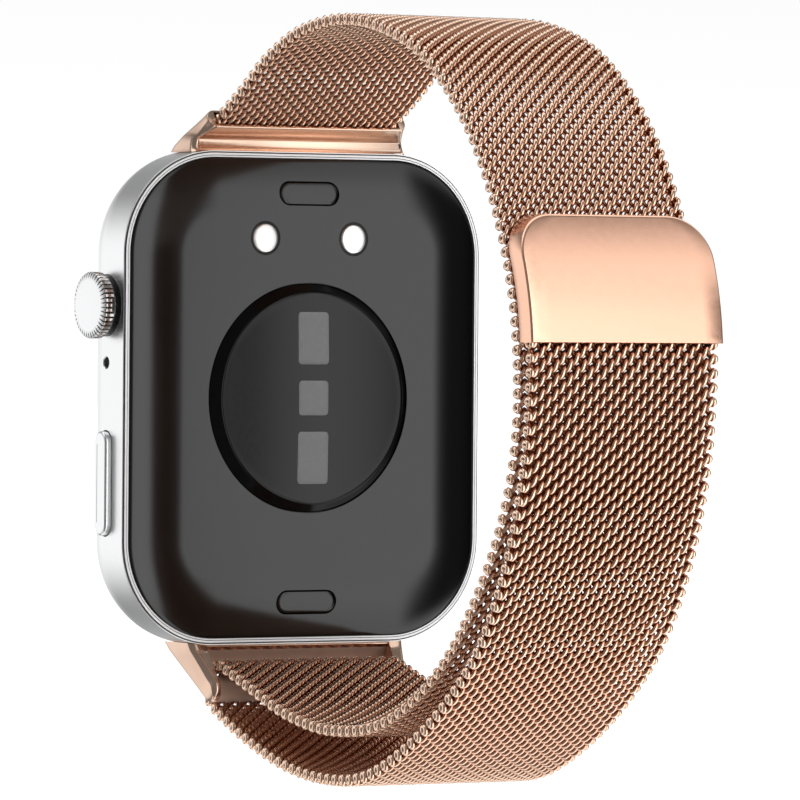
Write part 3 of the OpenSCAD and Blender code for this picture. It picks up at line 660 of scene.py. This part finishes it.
def section(x0, x1, front, rear, radii, steps=7):
    """A ring of points round a rounded rectangle from x0 to x1 and from front to rear, both (Y, Z). The
    radii are those of its corners: x1 at the front, x1 at the rear, x0 at the rear, x0 at the front."""
    front, rear = np.asarray(front, float), np.asarray(rear, float)
    length = np.linalg.norm(rear - front)
    ahead = (rear - front) / length
    corners = [(x1, 0, -1, 1), (x1, length, -1, -1), (x0, length, 1, -1), (x0, 0, 1, 1)]
    points = []
    for k, ((x, t, sx, st), r) in enumerate(zip(corners, radii)):
        for a in np.radians(np.linspace(-90 + 90 * k, 90 * k, steps + 1)):
            points.append((x + sx * r + r * math.cos(a), *(front + ahead * (t + st * r + r * math.sin(a)))))
    return points


def lofted(name, rings):
    """A closed solid through rings of points."""
    n = len(rings[0])
    faces = [
        (i * n + k, i * n + (k + 1) % n, (i + 1) * n + (k + 1) % n, (i + 1) * n + k)
        for i in range(len(rings) - 1) for k in range(n)
    ]
    faces += [list(range(n)), list(reversed(range((len(rings) - 1) * n, len(rings) * n)))]
    return mesh(name, band(np.concatenate([np.array(r) for r in rings])), faces)


def mix(a, b, t):
    return np.asarray(a, float) * (1 - t) + np.asarray(b, float) * t


def hug_case(obj):
    """Lets the flared root's underside follow the case round its corners."""
    for v in obj.data.vertices:
        x, z = abs(v.co.x / MM), abs(v.co.z / MM)
        past, above = x - (CASE_W / 2 - CORNER_R), z - CONNECTOR_LOW
        if past > 0 and above < 0.3:
            drop = CORNER_R - math.sqrt(CORNER_R**2 - past**2) + 0.06
            v.co.z -= math.copysign(drop * (1 - max(above, 0) / 0.3), v.co.z) * MM
    return obj


def build_upper_connector():
    tip_out, tip_in = MOUTH + SLAB_T / 2 * LUG_UP, MOUTH - SLAB_T / 2 * LUG_UP

    def rear(z):
        return tip_out - (tip_out[1] - z) / math.sin(LUG) * LUG_DIR

    low, lip_r = CONNECTOR_LOW, SLAB_T / 2 - 0.01
    fronts = [(ROOT_FRONT, 0), (-0.86, 0.06), (-0.98, 0.17), (-1.04, 0.32), (-1.07, 0.55), (-1.07, 0.78),
              (-1.03, 0.9), (-0.93, 1.0), (-0.8, 1.09)]
    rings = []
    for i, (y, up) in enumerate(fronts):
        t = i / len(fronts)
        half = FLARE_W / 2 - 0.42 * t
        rear_r = 2.0 - 0.9 * t
        rings.append(section(-half, half, (y, low + up), rear(low + up * 1.15), (0.6, rear_r, rear_r, 0.6)))
    last = (fronts[-1][0], low + fronts[-1][1])
    for t in np.linspace(0.1, 1, 8):
        half = FLARE_W / 2 - 0.42 + (CONNECTOR_W - FLARE_W + 0.84) / 2 * t
        front_r, rear_r = 0.6 + (lip_r - 0.6) * t, 1.1 + (lip_r - 1.1) * t
        back = mix(rear(low + fronts[-1][1] * 1.15), tip_out, t)
        rings.append(section(-half, half, mix(last, tip_in, t), back, (front_r, rear_r, rear_r, front_r)))
    for out, inset in ((0.05, 0.015), (0.09, 0.05), (0.105, 0.1)):
        half, r = CONNECTOR_W / 2 - inset, lip_r - inset
        front, back = tip_in + out * LUG_DIR + inset * LUG_UP, tip_out + out * LUG_DIR - inset * LUG_UP
        rings.append(section(-half, half, front, back, (r, r, r, r)))
    body = hug_case(lofted("connector_upper", rings))
    a, b = MOUTH - 1.5 * LUG_DIR, MOUTH + LUG_DIR
    half = (BAND_T / 2 + 0.05) * LUG_UP
    slot = extruded("slot", [a - half, b - half, b + half, a + half], -BAND_W / 2 - 0.15, BAND_W / 2 + 0.15)
    cut(body, slot)
    join(body, foot("upper_foot", 1))
    finish_piece(smooth(body, 32), "rose_polished", "watch", "upper_connector")


def ring_arm(name, side_sign):
    """One side of the lower ring, flared at its root, with a rounded tip that holds the bar."""
    root = np.array([(ROOT_FRONT, -CONNECTOR_LOW), (ROOT_REAR, -CONNECTOR_LOW)])
    along = BAR - root.mean(0)
    along /= np.linalg.norm(along)
    across = np.array([-along[1], along[0]])
    inner, tip_r, tip_x = BAND_W / 2 + 0.1, BAR_R + 0.05, CONNECTOR_W / 2
    rings = []

    def ring(x1, front, rear, front_r, rear_r):
        x0, small = inner, 0.1
        if side_sign < 0:
            rings.append(section(-x1, -x0, front, rear, (small, small, rear_r, front_r)))
        else:
            rings.append(section(x0, x1, front, rear, (front_r, rear_r, small, small)))

    front_tip, rear_tip = BAR + tip_r * across, BAR - tip_r * across
    for t in np.linspace(0, 1, 9):
        x1 = FLARE_W / 2 + (tip_x - FLARE_W / 2) * t
        ring(x1, mix(root[0], front_tip, t), mix(root[1], rear_tip, t), 0.75 - 0.1 * t, 1.3 - 0.65 * t)
    for a in np.radians([15, 30, 45, 58, 70, 80]):
        c, s = math.cos(a), math.sin(a)
        r = min(0.65, 0.9 * tip_r * c) * (0.75 + 0.25 * c)
        front, rear = BAR + tip_r * (c * across + s * along), BAR + tip_r * (s * along - c * across)
        ring(tip_x - 0.3 * (1 - c), front, rear, r, r)
    return hug_case(lofted(name, rings))


def build_lower_connector():
    low = CONNECTOR_LOW
    outline = [(ROOT_REAR + 0.3, -low), (ROOT_FRONT - 0.05, -low), (ROOT_FRONT - 0.05, -low - 0.1),
               (ROOT_FRONT - 0.33, -low - 0.4), (-2.35, -low - 2.3), (-2.8, -low - 2.4)]
    inner = BAND_W / 2 + 0.1
    body = bevel(extruded("connector_lower", outline, -inner - 0.3, inner + 0.3), 0.09, 3, 20)
    bar = extruded("bar", arc(BAR, BAR_R, 0, 354, 59), -inner - 0.3, inner + 0.3)
    join(body, ring_arm("arm_right", 1), ring_arm("arm_left", -1), bar, foot("lower_foot", -1))
    finish_piece(smooth(body, 32), "rose_polished", "watch", "lower_connector")
    # Painted shade: the inner walls and the bar between the arms take a darker, duller copy of the rose
    # metal.
    body.data.materials.append(MATERIALS["rose_wall_painted_shade"])
    for face in body.data.polygons:
        face.material_index = int(abs(face.center[0]) < inner * MM and face.center[2] < -(low + 0.45) * MM)


# ---------------------------------------------------------------- woven band

# The band's centre line in (Y, Z), round the wrist and then along the tail.
MAIN_LINE = [
    (4, 26.6), (8.4, 29.4), (14, 31.6), (20.8, 32.4), (27.5, 31.5), (34, 29), (40.2, 24), (44.85, 17.5),
    (48.15, 9.2), (49.1, 0.5), (47.6, -7.6), (43.4, -15.4), (37, -22.4), (28.6, -26.9), (20, -28),
    (12.5, -27), (6.5, -25.1),
]
TAIL_LINE = [
    (5, -29.2), (11.9, -31.3), (18.6, -32.15), (25.2, -31.7), (31.5, -29.2), (37.9, -25.2), (43.5, -20),
    (47.6, -13), (50.1, -5), (50.9, 2),
]


def on_bar(a):
    return BAR + [0, FOLD_SLACK] + FOLD_R * np.array([math.cos(math.radians(a)), math.sin(math.radians(a))])


def clasp_point(r, a):
    return CLASP_C + r * np.array([math.cos(a), math.sin(a)])


def spline(p, n):
    """A smooth curve through p, with n steps between its points."""
    p = [np.asarray(q, float) for q in p]
    made = []
    for i in range(1, len(p) - 2):
        for k in range(n):
            t = k / n
            made.append(0.5 * (2 * p[i] + (p[i + 1] - p[i - 1]) * t
                               + (2 * p[i - 1] - 5 * p[i] + 4 * p[i + 1] - p[i + 2]) * t * t
                               + (3 * p[i] - p[i - 1] - 3 * p[i + 1] + p[i + 2]) * t**3))
    return made + [p[-2]]


def band_line():
    """The band's centre line, from the upper connector round the wrist and the bar to the clasp: points,
    distance along it, and the distances at which the fold on the bar starts and ends."""
    through = [MOUTH - 3 * LUG_DIR, MOUTH, *MAIN_LINE, on_bar(75), on_bar(110)]
    main = [MOUTH - 1.2 * LUG_DIR] + spline(through, 40)
    fold = [on_bar(a) for a in np.arange(77, 237.1, 2)]
    mid_r = CLASP_R - CLASP_T / 2 - 0.05
    tail = spline([on_bar(198), on_bar(238), *TAIL_LINE, clasp_point(mid_r, CLASP_LOW + math.radians(1)),
                   clasp_point(mid_r, CLASP_LOW + math.radians(4.5))], 40)
    points = np.array(main + fold + tail)
    steps = np.linalg.norm(np.diff(points, axis=0), axis=1)
    keep = np.concatenate([[True], steps > 1e-6])
    points = points[keep]
    along = np.concatenate([[0], np.cumsum(np.linalg.norm(np.diff(points, axis=0), axis=1))])
    start = along[len(main) - 1]
    return points, along, start, start + FOLD_R * math.radians(238 - 75)


def wire_rows(rows, line, along, odd, sides=6, steps=12):
    """Tubes of the spirals centred at those distances along the line: points, faces and each point's
    painted_shade_relief, the mask for the wire's painted shade.
    Odd spirals end in a closed turn at each edge."""
    reach = BAND_W / 2 - WIRE_R
    pitch = 2 * reach / PITCH_TURNS
    if odd:
        phi = np.linspace(-2 * math.pi, 2 * math.pi * (PITCH_TURNS + 1), int(steps * (PITCH_TURNS + 2)) + 1)
        inner = np.clip(phi, 0, 2 * math.pi * PITCH_TURNS)
        x = reach - pitch * inner / (2 * math.pi)
        near = np.minimum(phi, 2 * math.pi * PITCH_TURNS - phi) / math.pi
        t = np.clip(near, 0, 1)
        long = END_LONG + (HALF_LONG - END_LONG) * t * t * (3 - 2 * t)
    else:
        turns = PITCH_TURNS - 1
        phi = np.linspace(-math.pi, 2 * math.pi * turns + math.pi, int(steps * (turns + 1)) + 1)
        x = reach - pitch / 2 - pitch * phi / (2 * math.pi)
        long = np.full(len(phi), HALF_LONG)
    s = rows[:, None] - long * np.cos(phi)[None, :]
    w = np.broadcast_to(HALF_THICK * np.sin(phi)[None, :], s.shape)

    def at(values):
        return np.stack([np.interp(values, along, line[:, 0]), np.interp(values, along, line[:, 1])], -1)

    centre = at(s)
    tangent = at(s + 0.25) - at(s - 0.25)
    tangent /= np.linalg.norm(tangent, axis=-1, keepdims=True)
    normal = np.stack([tangent[..., 1], -tangent[..., 0]], -1)
    yz = centre + normal * w[..., None]
    path = np.concatenate([np.broadcast_to(x[None, :, None], s.shape + (1,)), yz], -1)
    ahead = np.gradient(path, axis=1)
    ahead /= np.linalg.norm(ahead, axis=-1, keepdims=True)
    first = np.cross(ahead, [1.0, 0, 0])
    first /= np.linalg.norm(first, axis=-1, keepdims=True)
    second = np.cross(ahead, first)
    radius = np.full(len(phi), WIRE_R)
    radius[[0, -1]] = 0.02
    angles = np.linspace(0, 2 * math.pi, sides, endpoint=False)
    spoke = radius[None, :, None, None] * (np.cos(angles)[None, None, :, None] * first[:, :, None, :]
                                           + np.sin(angles)[None, None, :, None] * second[:, :, None, :])
    verts = path[:, :, None, :] + spoke
    # Mask for painted shade: low where a point lies deep in the weave, 1 where it stands out on a face or
    # lies near the band's edges.
    height = np.abs(w[:, :, None] + (spoke[..., 1:] * normal[:, :, None, :]).sum(-1)) / (HALF_THICK + WIRE_R)
    edge = (np.abs(verts[..., 0]) - reach + 0.25) / 0.3
    painted_shade_relief = np.clip(np.maximum(height, edge), 0, 1)
    n_rows, n = s.shape
    index = np.arange(n_rows * n * sides).reshape(n_rows, n, sides)
    beside = np.roll(index, -1, axis=2)
    quads = np.stack([index[:, :-1], beside[:, :-1], beside[:, 1:], index[:, 1:]], -1)
    return verts.reshape(-1, 3), quads.reshape(-1, 4), painted_shade_relief.reshape(-1)


def wire_piece(name, rows, numbers, line, along):
    """One mesh of the spirals at those rows."""
    verts, faces, painted_shade_reliefs, base = [], [], [], 0
    for odd in (True, False):
        chosen = rows[(numbers % 2 == 1) == odd]
        if len(chosen):
            v, q, painted_shade_relief = wire_rows(chosen, line, along, odd)
            verts.append(v)
            faces.append(q + base)
            painted_shade_reliefs.append(painted_shade_relief)
            base += len(v)
    obj = mesh(name, band(np.concatenate(verts)), np.concatenate(faces).tolist(), welded=False)
    # The mask that the wire material turns into painted shade.
    obj.data.attributes.new("painted_shade_relief", "FLOAT", "POINT").data.foreach_set("value", np.concatenate(painted_shade_reliefs))
    obj.data.shade_smooth()
    return obj


def build_band():
    line, along, fold_start, fold_end = band_line()
    count = int((along[-1] - 0.6) / ROW)
    numbers = np.arange(count)
    rows = 0.45 + numbers * (along[-1] - 0.9) / (count - 1)
    fold_from = fold_start + FOLD_R * math.radians(12)
    groups = [
        ("weave_main", "watch", numbers[rows < fold_from]),
        ("weave_fold", None, numbers[(rows >= fold_from) & (rows < fold_end)]),
        ("weave_tail", "tail", numbers[rows >= fold_end]),
    ]
    for name, body, chosen in groups:
        for part, some in enumerate(np.array_split(chosen, max(1, math.ceil(len(chosen) / PIECE_ROWS)))):
            obj = wire_piece(f"{name}_{part + 1}", rows[some], numbers[some], line, along)
            finish_piece(obj, "rose_wire", body)
            if not body:
                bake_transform(obj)
    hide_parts("band_main")
    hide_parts("band_tail")


# ---------------------------------------------------------------- clasp


def clasp_half(z, inset):
    """Half the clasp's width at height z, for an outline inset by that much."""
    r = CLASP_CORNER - inset
    corner_z = clasp_point(CLASP_R, CLASP_HIGH)[1] - inset - r
    past = np.clip(z - corner_z, 0, r)
    return CLASP_W / 2 - inset - r + np.sqrt(np.maximum(r * r - past * past, 0))


def clasp_sheet(inset, radius, bottom, nz=28, nx=12):
    """A grid over the clasp's face at that radius and inset, from bottom to its top."""
    r = CLASP_CORNER - inset
    corner_z = clasp_point(CLASP_R, CLASP_HIGH)[1] - inset - r
    low = np.linspace(bottom, corner_z, nz // 2, endpoint=False)
    a = np.linspace(0, math.pi / 2, nz - nz // 2)
    z = np.concatenate([low, corner_z + r * np.sin(a)])
    x = clasp_half(z, inset)[:, None] * np.linspace(-1, 1, nx)[None, :]
    y = CLASP_C[0] + np.sqrt(radius**2 - (z - CLASP_C[1]) ** 2)
    return np.stack([x, np.broadcast_to(y[:, None], x.shape), np.broadcast_to(z[:, None], x.shape)], -1)


def clasp_solid(name, layers, nz=28, nx=12):
    """A closed plate through layers of (inset, radius, bottom), from its outer face to its inner face."""
    sheets = [clasp_sheet(*layer, nz, nx) for layer in layers]
    lower, upper = [(0, j) for j in range(nx)], [(nz - 1, j) for j in range(nx - 2, -1, -1)]
    right, left = [(i, nx - 1) for i in range(1, nz)], [(i, 0) for i in range(nz - 2, 0, -1)]
    edge = lower + right + upper + left
    verts, faces = [], []
    for base, sheet in ((0, sheets[0]), (nz * nx, sheets[-1])):
        verts.append(sheet.reshape(-1, 3))
        for i in range(nz - 1):
            for j in range(nx - 1):
                k = base + i * nx + j
                faces.append((k, k + 1, k + nx + 1, k + nx))
    rings = [[i * nx + j for i, j in edge]]
    count = 2 * nz * nx
    for sheet in sheets[1:-1]:
        verts.append(np.array([sheet[i, j] for i, j in edge]))
        rings.append(list(range(count, count + len(edge))))
        count += len(edge)
    rings.append([nz * nx + i * nx + j for i, j in edge])
    for a, b in zip(rings, rings[1:]):
        for k in range(len(edge)):
            m = (k + 1) % len(edge)
            faces.append((a[k], a[m], b[m], b[k]))
    return mesh(name, band(np.concatenate(verts)), faces)


def build_clasp():
    bottom = float(clasp_point(CLASP_R, CLASP_LOW)[1])
    round_r, back_r = 0.22, CLASP_R - CLASP_T
    layers = []
    for a in np.radians([0, 22, 45, 68, 90]):
        inset = round_r * (1 - math.sin(a))
        layers.append((inset, CLASP_R - round_r * (1 - math.cos(a)), bottom + 0.35 * inset))
    layers += [(0, back_r + 0.15, bottom), (0.05, back_r + 0.04, bottom), (0.15, back_r, bottom + 0.03)]
    cover = clasp_solid("clasp_shell", layers)
    hollow = [(CLASP_SKIN, CLASP_R - CLASP_SKIN, bottom - 1), (CLASP_SKIN, back_r - 1, bottom - 1)]
    cut(cover, clasp_solid("cavity", hollow))
    finish_piece(smooth(cover, 35), "rose_satin", "tail", "clasp_cover")


# ---------------------------------------------------------------- CAD nodes that stay

KEPT = {
    "seal": ["display_gasket", "back_seal", "contact_rings", "crown_seal", "button_seals"],
    "panel": ["display_panel", "encoder_sensor"],
    "chassis": ["inner_chassis", "speaker", "crown_cup", "crown_bush"],
    "screws": ["chassis_screws", "button_clips"],
    "board": ["main_board", "sensor_board"],
    "tinned_steel": ["shield_can", "vibration_motor", "microphone", "speaker_mesh", "microphone_mesh",
                     "crown_switch", "button_switch"],
    "battery_foil": ["battery"],
    "window": ["sensor_emitters"],
    "polished_steel": ["crown_stem", "spring_upper", "spring_lower"],
    "magnet": ["clasp_magnet"],
    "rose_satin": ["clasp_plate"],
}


def paint_kept():
    for slot, names in KEPT.items():
        for name in names:
            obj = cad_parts[name]
            obj.data.materials.clear()
            obj.data.materials.append(MATERIALS[slot])
            smooth(obj, 30)


# ---------------------------------------------------------------- studio


BRIGHTEST = 2.6
# Each panel of the surroundings: (x, share) stops, then (turn, brightness) stops.
AROUND = [(-1, 1), (1, 1)], [(-180, 0.2), (-90, 0.16), (90, 0.22), (180, 0.2)]
BELT = [(-0.93, 0), (-0.84, 1), (0.07, 1), (0.25, 0)], [
    (-180, 1.05), (-168, 0.9), (-158, 0.45), (-150, 0.2), (-142, 0.2), (-130, 1.4), (-60, 1.4), (-15, 2.6),
    (18, 2.5), (28, 1.85), (40, 1.35), (52, 0.7), (62, 0.2), (88, 0.2), (102, 1.4), (126, 1.7), (136, 0.2),
    (156, 0.25), (168, 0.75), (180, 1.05),
]
CROWN_SIDE = [(0.05, 0), (0.2, 1), (0.85, 1), (0.95, 0)], [
    (-180, 1.14), (-166, 1.16), (-157, 0.9), (-149, 0.3), (-138, 0.25), (-120, 1.3), (-90, 0.2), (90, 0.2),
    (120, 1.3), (134, 0.25), (150, 0.2), (158, 0.7), (168, 1.14), (180, 1.14),
]
GAP = [(-0.996, 1), (-0.993, 0)], [(-180, 1.06), (180, 1.06)]
# Dark cards in front of them, for the back's dark strip and its dark right margin.
STRIP = [(-0.482, 0), (-0.458, 1), (-0.436, 1), (-0.405, 0)], [(-44, 0), (-38, 1), (38, 1), (44, 0)]
MARGIN = [(-0.995, 1), (-0.7, 1), (-0.63, 0.9), (-0.6, 0.7), (-0.575, 0.3), (-0.552, 0)], [
    (-38, 0), (-30, 0.97), (28, 0.97), (40, 0),
]


def build_world():
    """Bright panels in dark surroundings, placed by two numbers: the x of a direction, and its turn about
    the X axis in degrees from +Y towards +Z. The band's outer side mirrors one x all the way round."""
    world = bpy.data.worlds.new("studio")
    bpy.context.scene.world = world
    world.use_nodes = True
    nodes = Nodes(world.node_tree)
    split = nodes.add("ShaderNodeSeparateXYZ", Vector=nodes.add("ShaderNodeTexCoord").outputs["Generated"])
    x, y, z = split.outputs
    across = nodes.math("MULTIPLY_ADD", x, 0.5, 0.5)
    turn = nodes.math("MULTIPLY_ADD", nodes.math("ARCTAN2", z, y), 0.5 / math.pi, 0.5)

    def panel(places, turns):
        share = nodes.ramp(across, [(v * 0.5 + 0.5, a) for v, a in places])
        level = nodes.ramp(turn, [(d / 360 + 0.5, v / BRIGHTEST) for d, v in turns])
        return nodes.math("MULTIPLY", nodes.math("MULTIPLY", share, level), BRIGHTEST)

    light = nodes.math("MAXIMUM", nodes.math("MAXIMUM", panel(*AROUND), panel(*BELT)), panel(*CROWN_SIDE))
    strip, margin = (nodes.math("SUBTRACT", 1.0, panel(*card)) for card in (STRIP, MARGIN))
    shaded = nodes.math("MULTIPLY", light, nodes.math("MULTIPLY", strip, margin))
    background = world.node_tree.nodes["Background"]
    background.inputs["Color"].default_value = (1, 1, 1, 1)
    nodes.put(background, "Strength", nodes.math("MAXIMUM", shaded, panel(*GAP)))


def build_floor():
    """A pale floor that gives light and takes shadows, well below the watch."""
    low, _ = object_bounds()
    z = low.z / MM - TAIL_SWING
    half = 4000
    corners = [(-half, -half, z), (half, -half, z), (half, half, z), (-half, half, z)]
    floor = mesh("floor", corners, [(0, 1, 2, 3)])
    material = bpy.data.materials.new("studio_floor")
    material.use_nodes = True
    shader = material.node_tree.nodes["Principled BSDF"]
    nodes = Nodes(material.node_tree)
    nodes.put(shader, "Base_Color", nodes.ramp(nodes.noise(3.0), [(0.3, 0.8), (0.7, 0.84)]))
    shader.inputs["Roughness"].default_value = 0.9
    shader.inputs["Specular IOR Level"].default_value = 0.0
    shader.inputs["Emission Color"].default_value = (1, 1, 1, 1)
    shader.inputs["Emission Strength"].default_value = 0.75
    floor.data.materials.append(material)
    floor.visible_glossy = False


def build_light():
    data = bpy.data.lights.new("overhead", "AREA")
    data.shape, data.size, data.size_y, data.energy = "RECTANGLE", 0.4, 0.4, 0.4
    light = bpy.data.objects.new("overhead", data)
    bpy.context.scene.collection.objects.link(light)
    place, target = Vector((0.3, -0.1, 0.6)), Vector((0, 0.02, 0))
    light.location = place
    light.rotation_euler = (target - place).to_track_quat("-Z", "Y").to_euler()


def build_camera():
    """The photo's camera: behind the watch, a little to the crown side."""
    data = bpy.data.cameras.new("camera")
    data.sensor_width, data.lens = 36, 327.1
    data.clip_start, data.clip_end = 0.01, 50
    camera = bpy.data.objects.new("camera", data)
    bpy.context.scene.collection.objects.link(camera)
    azimuth, height, roll = map(math.radians, (31.566, 0.6926, 0.456))
    away = math.cos(height)
    back = Vector((math.sin(azimuth) * away, math.cos(azimuth) * away, math.sin(height)))
    right = Vector((0, 0, 1)).cross(back).normalized()
    up = back.cross(right)
    right, up = math.cos(roll) * right + math.sin(roll) * up, math.cos(roll) * up - math.sin(roll) * right
    target, distance = Vector((0.0061558, 0.0242745, 0.0001855)), 0.61382
    facing = Matrix((right, up, back)).transposed().to_4x4()
    camera.matrix_world = Matrix.Translation(target + distance * back) @ facing
    bpy.context.scene.camera = camera


bpy.context.scene.view_settings.view_transform = "Standard"
build_case()
build_back()
build_release_buttons()
build_lens()
build_contacts()
build_crown()
build_microphone_shade_disc()
build_side_button()
build_glass()
build_upper_connector()
build_lower_connector()
build_band()
build_clasp()
paint_kept()
build_floor()
build_world()
build_light()
build_camera()
